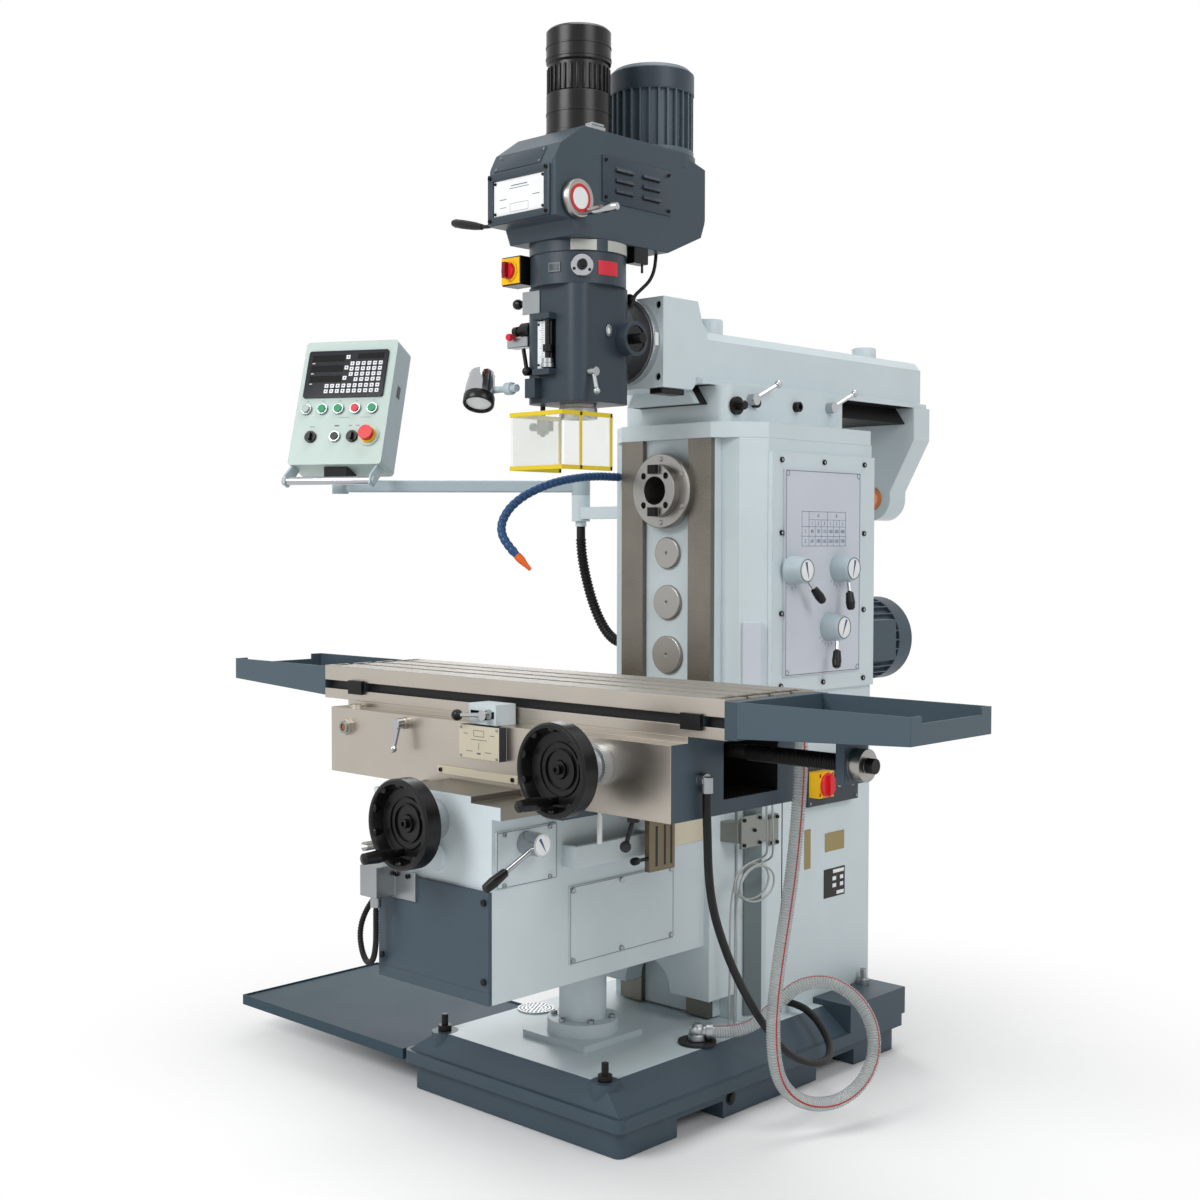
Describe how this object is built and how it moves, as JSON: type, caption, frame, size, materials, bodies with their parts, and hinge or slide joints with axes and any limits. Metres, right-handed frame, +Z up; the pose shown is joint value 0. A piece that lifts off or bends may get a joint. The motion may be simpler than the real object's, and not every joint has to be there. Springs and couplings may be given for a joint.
{
  "type": "universal milling machine",
  "caption": "Knee-type universal milling machine with a horizontal spindle, a swivelling ram with a tilting vertical head, a traversing table, and a control pendant.",
  "frame": {"origin": "centre of the base on the floor, below the face of the column ways", "axes": "+X along the table to the operator's right, +Y from the operator towards the column, +Z up"},
  "size_m": [2.16, 1.927, 2.486],
  "materials": {
    "white_paint": "semi-gloss",
    "gray_paint": "semi-gloss",
    "ground_steel": "ground",
    "chrome": "bright",
    "black_plastic": "satin",
    "motor": "painted",
    "aluminium": "painted",
    "pendant_paint": "textured",
    "green": "gloss",
    "red": "gloss",
    "white_plastic": "gloss",
    "hose": "clear",
    "conduit": "matte",
    "coolant": "gloss",
    "guard": "framed"
  },
  "bodies": {
    "frame": {"base": "gray_paint", "base_fittings": "white_paint", "splash_tray": "gray_paint", "column": "white_paint", "column_covers": "white_paint", "drive_motor": "motor", "return_hose": "hose", "power_conduit": "conduit", "pendant_conduit": "conduit", "coolant_pipe": "coolant"},
    "knee": {"knee": "white_paint", "knee_covers": "gray_paint", "elevating_screw": "ground_steel"},
    "saddle": {"saddle": "ground_steel"},
    "table": {"table": "ground_steel", "table_trays": "gray_paint", "table_fittings": "gray_paint"},
    "turret": {"turret": "white_paint"},
    "ram": {"ram": "white_paint", "arbor_support": "white_paint"},
    "head": {"head_body": "gray_paint", "belt_housing": "aluminium", "head_motor": "motor", "drawbar_unit": "motor"},
    "horizontal_spindle": {"horizontal_spindle": "ground_steel"},
    "gear_lever_1": {"gear_lever_1": "chrome"},
    "gear_lever_2": {"gear_lever_2": "chrome"},
    "gear_lever_3": {"gear_lever_3": "chrome"},
    "main_switch": {"main_switch": "red"},
    "column_start_button": {"column_start_button": "green"},
    "column_stop_button": {"column_stop_button": "white_plastic"},
    "cross_handwheel": {"cross_handwheel": "black_plastic"},
    "knee_crank": {"knee_crank": "ground_steel"},
    "knee_feed_lever": {"knee_feed_lever": "chrome"},
    "table_feed_lever": {"table_feed_lever": "chrome"},
    "table_clamp_lever": {"table_clamp_lever": "chrome"},
    "saddle_clamp_lever": {"saddle_clamp_lever": "black_plastic"},
    "traverse_handwheel": {"traverse_handwheel": "black_plastic"},
    "ram_pinion": {"ram_pinion": "ground_steel"},
    "ram_clamp_front": {"ram_clamp_front": "chrome"},
    "ram_clamp_rear": {"ram_clamp_rear": "chrome"},
    "quill": {"quill": "ground_steel"},
    "vertical_spindle": {"vertical_spindle": "ground_steel"},
    "quill_pinion": {"quill_pinion": "black_plastic"},
    "quill_lock_lever": {"quill_lock_lever": "chrome"},
    "speed_crank": {"speed_crank": "chrome"},
    "speed_lever": {"speed_lever": "chrome"},
    "head_switch_knob": {"head_switch_knob": "red"},
    "cutter_guard": {"cutter_guard": "guard"},
    "work_lamp": {"work_lamp": "aluminium"},
    "pendant_arm": {"pendant_arm": "white_paint"},
    "pendant": {"pendant": "pendant_paint"},
    "pendant_start_green": {"pendant_start_green": "green"},
    "pendant_coolant_green": {"pendant_coolant_green": "green"},
    "pendant_stop_red": {"pendant_stop_red": "red"},
    "pendant_feed_green": {"pendant_feed_green": "green"},
    "pendant_jog_black": {"pendant_jog_black": "black_plastic"},
    "pendant_selector_left": {"pendant_selector_left": "black_plastic"},
    "pendant_selector_right": {"pendant_selector_right": "black_plastic"},
    "pendant_emergency_stop": {"pendant_emergency_stop": "red"}
  },
  "joints": [
    {"name": "knee_lift", "type": "slide", "parent": "frame", "child": "knee", "axis": [0, 0, 1], "range_m": [-0.06, 0.22], "deforming": ["return_hose", "power_conduit"]},
    {"name": "saddle_cross", "type": "slide", "parent": "knee", "child": "saddle", "axis": [0, 1, 0], "range_m": [-0.08, 0.14], "deforming": ["return_hose", "power_conduit"]},
    {"name": "table_traverse", "type": "slide", "parent": "saddle", "child": "table", "axis": [1, 0, 0], "range_m": [-0.25, 0.25], "deforming": ["return_hose"]},
    {"name": "cross_wheel_turn", "type": "hinge", "parent": "knee", "child": "cross_handwheel", "pos_m": [0.005, -0.8, 0.716], "axis": [0, 1, 0], "continuous": true},
    {"name": "knee_crank_turn", "type": "hinge", "parent": "knee", "child": "knee_crank", "pos_m": [-0.14, -0.8, 0.648], "axis": [0, 1, 0], "continuous": true},
    {"name": "knee_feed_select", "type": "hinge", "parent": "knee", "child": "knee_feed_lever", "pos_m": [0.2, -0.656, 0.676], "axis": [1, 0, 0], "range_deg": [-25, 25]},
    {"name": "table_feed_select", "type": "hinge", "parent": "saddle", "child": "table_feed_lever", "pos_m": [0.034, -0.631, 0.932], "axis": [0, 1, 0], "range_deg": [-20, 20]},
    {"name": "table_clamp_turn", "type": "hinge", "parent": "saddle", "child": "table_clamp_lever", "pos_m": [-0.262, -0.63, 0.89], "axis": [0, 1, 0], "range_deg": [-60, 30]},
    {"name": "saddle_clamp_turn", "type": "hinge", "parent": "saddle", "child": "saddle_clamp_lever", "pos_m": [0.42, -0.577, 0.74], "axis": [0, 0, 1], "range_deg": [-40, 40]},
    {"name": "traverse_wheel_turn", "type": "hinge", "parent": "saddle", "child": "traverse_handwheel", "pos_m": [0.35, -0.7, 0.853], "axis": [0, 1, 0], "continuous": true},
    {"name": "spindle_turn", "type": "hinge", "parent": "frame", "child": "horizontal_spindle", "pos_m": [0, 0.1, 1.436], "axis": [0, 1, 0], "continuous": true},
    {"name": "gear_select_1", "type": "hinge", "parent": "frame", "child": "gear_lever_1", "pos_m": [0.262, 0.168, 1.242], "axis": [1, 0, 0], "range_deg": [-30, 30]},
    {"name": "gear_select_2", "type": "hinge", "parent": "frame", "child": "gear_lever_2", "pos_m": [0.262, 0.365, 1.245], "axis": [1, 0, 0], "range_deg": [-30, 30]},
    {"name": "gear_select_3", "type": "hinge", "parent": "frame", "child": "gear_lever_3", "pos_m": [0.262, 0.325, 1.098], "axis": [1, 0, 0], "range_deg": [-30, 30]},
    {"name": "main_switch_turn", "type": "hinge", "parent": "frame", "child": "main_switch", "pos_m": [0.296, 0.273, 0.709], "axis": [1, 0, 0], "range_deg": [0, 90]},
    {"name": "column_start_button_press", "type": "slide", "parent": "frame", "child": "column_start_button", "axis": [-1, 0, 0], "range_m": [0, 0.004], "stiffness_N_per_m": 400},
    {"name": "column_stop_button_press", "type": "slide", "parent": "frame", "child": "column_stop_button", "axis": [-1, 0, 0], "range_m": [0, 0.004], "stiffness_N_per_m": 400},
    {"name": "turret_swivel", "type": "hinge", "parent": "frame", "child": "turret", "pos_m": [0, 0.27, 1.6], "axis": [0, 0, 1], "range_deg": [-30, 30]},
    {"name": "ram_front_clamp", "type": "hinge", "parent": "turret", "child": "ram_clamp_front", "pos_m": [0.17, 0.12, 1.658], "axis": [1, 0, 0], "range_deg": [-30, 30]},
    {"name": "ram_rear_clamp", "type": "hinge", "parent": "turret", "child": "ram_clamp_rear", "pos_m": [0.17, 0.448, 1.658], "axis": [1, 0, 0], "range_deg": [-30, 30]},
    {"name": "ram_pinion_turn", "type": "hinge", "parent": "turret", "child": "ram_pinion", "pos_m": [0.15, 0.062, 1.64], "axis": [1, 0, 0], "continuous": true},
    {"name": "ram_slide", "type": "slide", "parent": "turret", "child": "ram", "axis": [0, 1, 0], "range_m": [-0.25, 0.045]},
    {"name": "head_tilt", "type": "hinge", "parent": "ram", "child": "head", "pos_m": [0, -0.15, 1.787], "axis": [0, 1, 0], "range_deg": [-45, 45]},
    {"name": "quill_feed", "type": "slide", "parent": "head", "child": "quill", "axis": [0, 0, -1], "range_m": [0, 0.11]},
    {"name": "quill_pinion_turn", "type": "hinge", "parent": "head", "child": "quill_pinion", "pos_m": [0.05, -0.245, 1.777], "axis": [1, 0, 0], "continuous": true},
    {"name": "vertical_spindle_turn", "type": "hinge", "parent": "quill", "child": "vertical_spindle", "pos_m": [0, -0.308, 1.7], "axis": [0, 0, 1], "continuous": true},
    {"name": "quill_lock_turn", "type": "hinge", "parent": "head", "child": "quill_lock_lever", "pos_m": [0.1, -0.364, 1.694], "axis": [1, 0, 0], "range_deg": [-30, 30]},
    {"name": "speed_crank_turn", "type": "hinge", "parent": "head", "child": "speed_crank", "pos_m": [0.115, -0.428, 2.069], "axis": [1, 0, 0], "continuous": true},
    {"name": "speed_lever_turn", "type": "hinge", "parent": "head", "child": "speed_lever", "pos_m": [-0.1313, -0.368, 2.07], "axis": [0, 1, 0], "range_deg": [-20, 20]},
    {"name": "head_switch_turn", "type": "hinge", "parent": "head", "child": "head_switch_knob", "pos_m": [-0.109, -0.421, 1.936], "axis": [0, 1, 0], "range_deg": [0, 90]},
    {"name": "guard_swing", "type": "hinge", "parent": "head", "child": "cutter_guard", "pos_m": [-0.111, -0.314, 1.58], "axis": [0, 0, 1], "range_deg": [-100, 0]},
    {"name": "lamp_tilt", "type": "hinge", "parent": "head", "child": "work_lamp", "pos_m": [-0.078, -0.43, 1.664], "axis": [1, 0, 0], "range_deg": [-30, 30]},
    {"name": "arm_swing", "type": "hinge", "parent": "frame", "child": "pendant_arm", "pos_m": [-0.41, 0.125, 1.46], "axis": [0, 0, 1], "range_deg": [-30, 40]},
    {"name": "pendant_swivel", "type": "hinge", "parent": "pendant_arm", "child": "pendant", "pos_m": [-0.8997, -0.30824, 1.48], "axis": [0, 0, 1], "range_deg": [-45, 15]},
    {"name": "pendant_start_green_press", "type": "slide", "parent": "pendant", "child": "pendant_start_green", "axis": [-0.4266, 0.8373, -0.342], "range_m": [0, 0.004], "stiffness_N_per_m": 400},
    {"name": "pendant_coolant_green_press", "type": "slide", "parent": "pendant", "child": "pendant_coolant_green", "axis": [-0.4266, 0.8373, -0.342], "range_m": [0, 0.004], "stiffness_N_per_m": 400},
    {"name": "pendant_stop_red_press", "type": "slide", "parent": "pendant", "child": "pendant_stop_red", "axis": [-0.4266, 0.8373, -0.342], "range_m": [0, 0.004], "stiffness_N_per_m": 400},
    {"name": "pendant_feed_green_press", "type": "slide", "parent": "pendant", "child": "pendant_feed_green", "axis": [-0.4266, 0.8373, -0.342], "range_m": [0, 0.004], "stiffness_N_per_m": 400},
    {"name": "pendant_jog_black_press", "type": "slide", "parent": "pendant", "child": "pendant_jog_black", "axis": [-0.4266, 0.8373, -0.342], "range_m": [0, 0.004], "stiffness_N_per_m": 400},
    {"name": "pendant_emergency_stop_press", "type": "slide", "parent": "pendant", "child": "pendant_emergency_stop", "axis": [-0.4266, 0.8373, -0.342], "range_m": [0, 0.004], "stiffness_N_per_m": 400},
    {"name": "pendant_selector_left_turn", "type": "hinge", "parent": "pendant", "child": "pendant_selector_left", "pos_m": [-0.96429, -0.35771, 1.59321], "axis": [0.4266, -0.8373, 0.342], "range_deg": [-45, 45]},
    {"name": "pendant_selector_right_turn", "type": "hinge", "parent": "pendant", "child": "pendant_selector_right", "pos_m": [-0.85469, -0.30187, 1.59321], "axis": [0.4266, -0.8373, 0.342], "range_deg": [-45, 45]}
  ],
  "couplings": [
    {"joint": "ram_pinion_turn", "follows": "ram_slide", "rad_per_m": -40},
    {"joint": "quill_pinion_turn", "follows": "quill_feed", "rad_per_m": 50}
  ]
}
